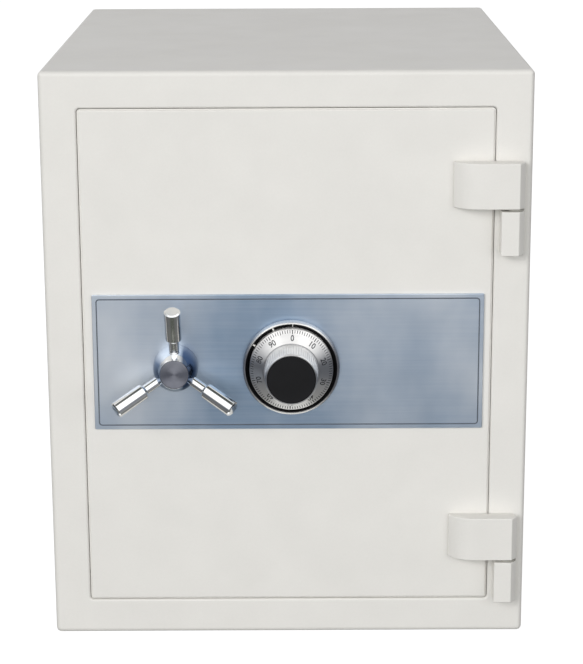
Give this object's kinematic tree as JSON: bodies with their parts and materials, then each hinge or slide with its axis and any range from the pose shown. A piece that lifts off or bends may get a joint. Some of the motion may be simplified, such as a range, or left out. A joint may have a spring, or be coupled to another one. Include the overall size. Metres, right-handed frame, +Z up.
{
  "type": "fireproof document box",
  "caption": "Free-standing insulated steel document safe with a stepped hinged door, three-spoke handle, dial combination lock, round bolts and an inner shelf.",
  "frame": {"origin": "centre of the cabinet's underside, on the surface it stands on", "axes": "+Z up, -Y out of the door's front face, +X to the hinge side, on the right as seen from the front"},
  "size_m": [0.43, 0.5583, 0.52],
  "materials": {
    "body_paint": "satin",
    "interior_paint": "satin",
    "satin_steel_plate": "satin",
    "chrome": "polished",
    "dial_silver": "satin",
    "dark_cap": "satin",
    "black_enamel": "satin",
    "zinc_steel": "satin",
    "brass": "satin",
    "seal": "matte",
    "insulation": "matte"
  },
  "bodies": {
    "cabinet": {"outer_casing": "body_paint", "back_panel": "body_paint", "body_insulation": "insulation", "door_jamb": "interior_paint", "inner_liner": "interior_paint", "left_bolt_keeper": "zinc_steel", "right_bolt_keeper": "zinc_steel", "shelf": "interior_paint", "left_shelf_rail": "interior_paint", "right_shelf_rail": "interior_paint", "upper_frame_knuckle": "body_paint", "upper_hinge_pin": "zinc_steel", "upper_thrust_washer": "zinc_steel", "lower_frame_knuckle": "body_paint", "lower_hinge_pin": "zinc_steel", "lower_thrust_washer": "zinc_steel"},
    "door": {"door_skin": "body_paint", "door_insulation": "insulation", "door_inner_pan": "interior_paint", "boltwork_plate": "zinc_steel", "inner_cover": "interior_paint", "door_seal": "seal", "escutcheon_plate": "satin_steel_plate", "handle_spindle_tube": "zinc_steel", "dial_spindle_tube": "zinc_steel", "dial_ring": "chrome", "lock_case": "zinc_steel", "lock_cover": "zinc_steel", "upper_hinge_leaf": "body_paint", "lower_hinge_leaf": "body_paint", "bolt_guide_1": "brass", "bolt_guide_2": "brass", "bolt_guide_3": "brass", "dead_bolt_1": "chrome", "dead_bolt_2": "chrome", "cover_screw_top_left": "zinc_steel", "cover_screw_top_right": "zinc_steel", "cover_screw_bottom_left": "zinc_steel", "cover_screw_bottom_right": "zinc_steel"},
    "handle": {"handle_hub": "chrome", "handle_cap": "dark_cap", "handle_spoke_1": "chrome", "handle_spoke_2": "chrome", "handle_spoke_3": "chrome", "handle_spindle": "zinc_steel", "crank": "zinc_steel"},
    "boltwork": {"bolt_carrier": "zinc_steel", "live_bolt_1": "chrome", "live_bolt_2": "chrome", "live_bolt_3": "chrome"},
    "dial": {"dial_knob": "dial_silver", "knob_face": "black_enamel", "dial_spindle": "zinc_steel", "drive_cam": "brass"},
    "wheel_1": {"lock_wheel_1": "brass"},
    "wheel_2": {"lock_wheel_2": "brass"},
    "wheel_3": {"lock_wheel_3": "brass"},
    "lock_bolt_and_lever": {"lock_bolt": "brass", "lever_and_fence": "zinc_steel"}
  },
  "joints": [
    {"name": "door_hinge", "type": "hinge", "parent": "cabinet", "child": "door", "pos_m": [0.2, -0.263, 0.26], "axis": [0, 0, 1], "range_deg": [0, 180]},
    {"name": "handle_turn", "type": "hinge", "parent": "door", "child": "handle", "pos_m": [-0.0997, -0.255, 0.2564], "axis": [0, -1, 0], "range_deg": [0, 60]},
    {"name": "bolt_throw", "type": "slide", "parent": "door", "child": "boltwork", "axis": [-1, 0, 0], "range_m": [0, 0.022]},
    {"name": "dial_turn", "type": "hinge", "parent": "door", "child": "dial", "pos_m": [0.0034, -0.255, 0.2561], "axis": [0, -1, 0], "continuous": true},
    {"name": "wheel_1_turn", "type": "hinge", "parent": "door", "child": "wheel_1", "pos_m": [0.0034, -0.255, 0.2561], "axis": [0, -1, 0], "continuous": true},
    {"name": "wheel_2_turn", "type": "hinge", "parent": "door", "child": "wheel_2", "pos_m": [0.0034, -0.255, 0.2561], "axis": [0, -1, 0], "continuous": true},
    {"name": "wheel_3_turn", "type": "hinge", "parent": "door", "child": "wheel_3", "pos_m": [0.0034, -0.255, 0.2561], "axis": [0, -1, 0], "continuous": true},
    {"name": "lock_bolt_slide", "type": "slide", "parent": "door", "child": "lock_bolt_and_lever", "axis": [0, 0, 1], "range_m": [0, 0.0125]}
  ],
  "couplings": [
    {"joint": "bolt_throw", "follows": "handle_turn", "m_per_rad": 0.021},
    {"joint": "wheel_1_turn", "follows": "dial_turn", "ratio": 1},
    {"joint": "wheel_2_turn", "follows": "dial_turn", "ratio": 1},
    {"joint": "wheel_3_turn", "follows": "dial_turn", "ratio": 1}
  ]
}
